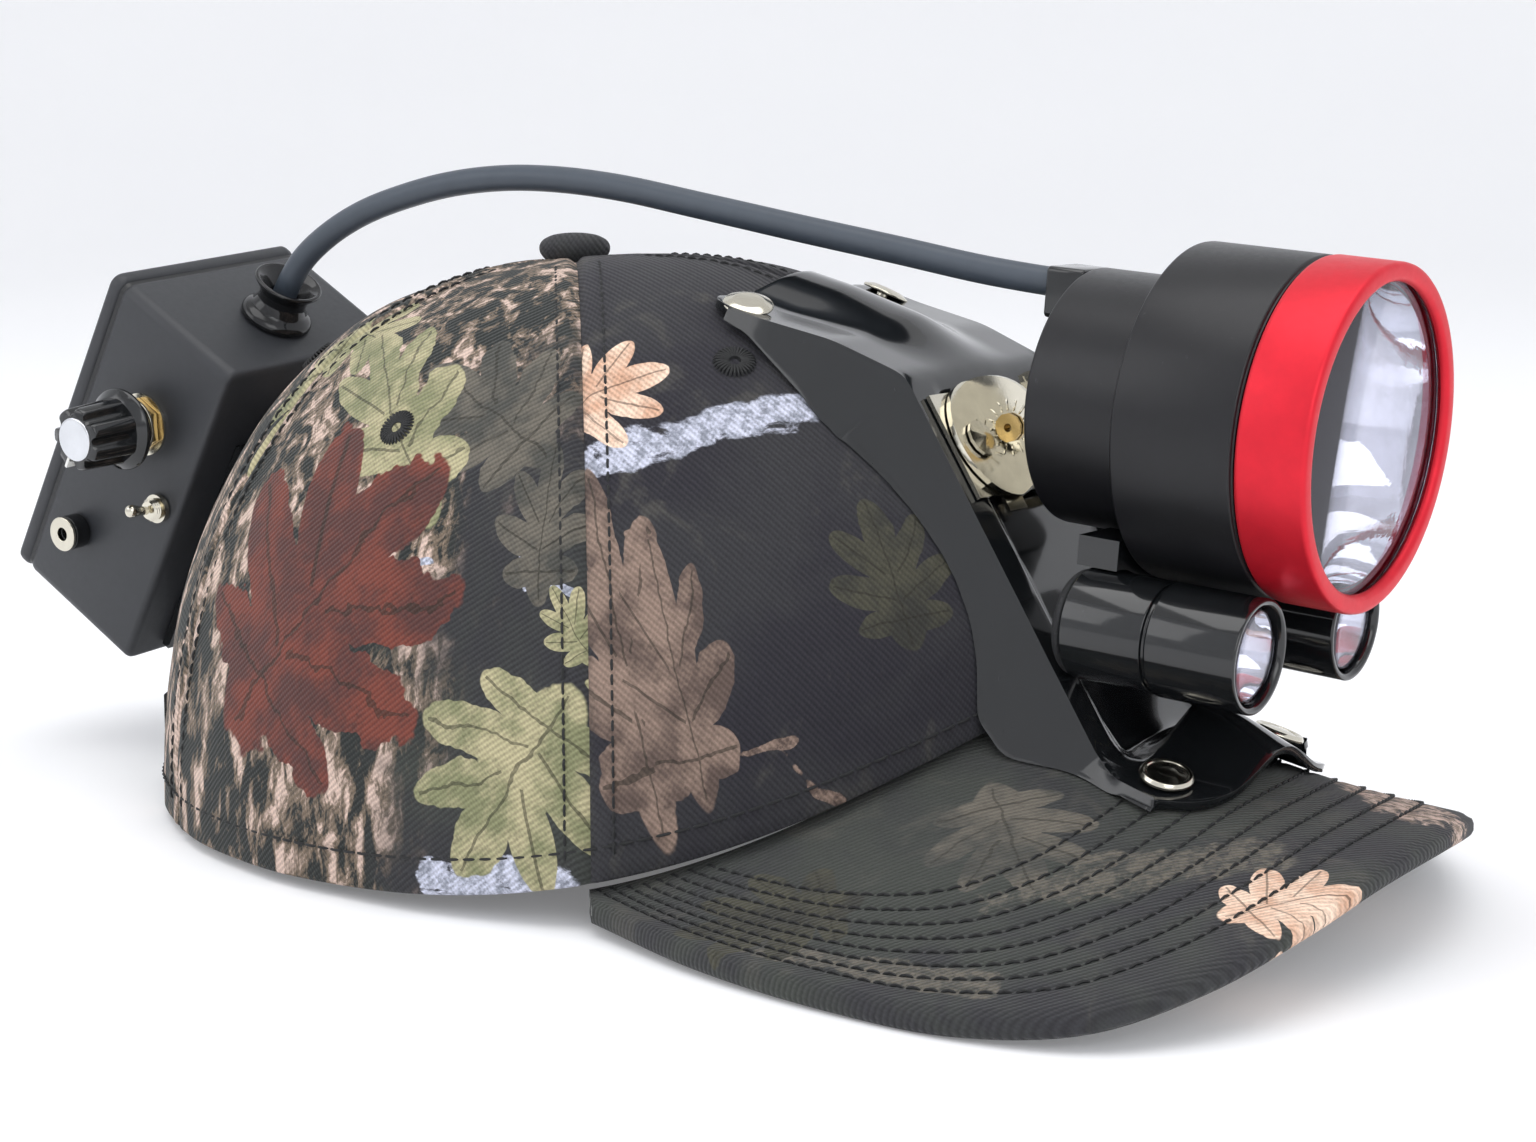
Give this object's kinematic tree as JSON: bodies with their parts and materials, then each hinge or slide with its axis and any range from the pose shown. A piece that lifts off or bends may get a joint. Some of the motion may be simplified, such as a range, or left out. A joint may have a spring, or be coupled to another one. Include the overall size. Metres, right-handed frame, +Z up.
{
  "type": "miner's cap lamp",
  "caption": "A cloth cap with a folded bracket at the front holding a tilting round lamp over two small lamps, a battery box with controls behind the crown, and a cable over the top.",
  "frame": {"origin": "middle of the bounding box's footprint, on the surface the cap stands on", "axes": "+X towards the front of the cap, +Y to the wearer's left, +Z up"},
  "size_m": [0.3384, 0.1824, 0.1331],
  "materials": {
    "camo_cloth": "printed cotton twill",
    "band_cloth": "woven black band",
    "visor_board": "moulded sheet",
    "gloss_black": "gloss black",
    "satin_black": "satin black anodised",
    "nickel": "nickel plated",
    "plain_aluminium": "machined",
    "brass": "bare brass",
    "red_anodised": "red anodised",
    "clear": "clear",
    "mirror": "vacuum plated",
    "rubber": "matte dark blue-grey",
    "circuit": "solder-masked board",
    "led": "phosphor-coated emitter",
    "cell_wrap": "shrink-wrapped cells",
    "box_black": "matte moulded"
  },
  "bodies": {
    "root": {"crown_panel_front_right": "camo_cloth", "crown_panel_front_left": "camo_cloth", "crown_panel_side_right": "camo_cloth", "crown_panel_side_left": "camo_cloth", "crown_panel_rear_right": "camo_cloth", "crown_panel_rear_left": "camo_cloth", "crown_button": "camo_cloth", "sweatband": "band_cloth", "closure_strap": "band_cloth", "strap_buckle": "nickel", "visor_under_cloth": "camo_cloth", "visor_board": "visor_board", "visor_top_cloth": "camo_cloth", "front_bracket": "gloss_black", "crown_rivet_right": "nickel", "crown_rivet_left": "nickel", "visor_rivet_right": "nickel", "visor_rivet_left": "nickel", "hinge_back_plate": "nickel", "hinge_ear_right": "nickel", "hinge_ear_left": "nickel", "hinge_rivet_right": "nickel", "hinge_rivet_left": "nickel", "hinge_pivot_right": "brass", "hinge_pivot_left": "brass", "box_shell": "box_black", "box_lid": "box_black", "battery_pack": "cell_wrap", "control_board": "circuit", "cable_gland": "rubber", "knob_bushing": "nickel", "charge_jack": "gloss_black", "charge_jack_ring": "nickel", "toggle_bushing": "nickel", "box_mount_clip": "gloss_black", "cable": "rubber"},
    "lamp": {"lamp_housing": "satin_black", "lamp_bezel": "red_anodised", "lamp_lens": "clear", "lamp_seal": "rubber", "lamp_reflector": "mirror", "lamp_led_board": "circuit", "lamp_led": "led", "lamp_heat_sink": "plain_aluminium", "cable_entry_block": "gloss_black", "lamp_yoke": "nickel", "aux_bracket": "gloss_black", "aux_body_right": "gloss_black", "aux_head_right": "gloss_black", "aux_end_cap_right": "rubber", "aux_lens_right": "clear", "aux_reflector_right": "mirror", "aux_body_left": "gloss_black", "aux_head_left": "gloss_black", "aux_end_cap_left": "rubber", "aux_lens_left": "clear", "aux_reflector_left": "mirror"},
    "knob": {"knob": "gloss_black", "knob_cap": "nickel"},
    "toggle": {"toggle_lever": "nickel"}
  },
  "joints": [
    {"name": "lamp_tilt", "type": "hinge", "parent": "root", "child": "lamp", "pos_m": [0.08801, 0.0015, 0.08679], "axis": [0, -1, 0], "range_deg": [0, 60], "deforming": ["cable"]},
    {"name": "knob_turn", "type": "hinge", "parent": "root", "child": "knob", "pos_m": [-0.12147, -0.02556, 0.07653], "axis": [0, -0.9962, -0.0872], "range_deg": [0, 270]},
    {"name": "toggle_throw", "type": "hinge", "parent": "root", "child": "toggle", "pos_m": [-0.11912, -0.02733, 0.05776], "axis": [0.849, 0.0461, -0.5264], "range_deg": [0, 24]}
  ]
}
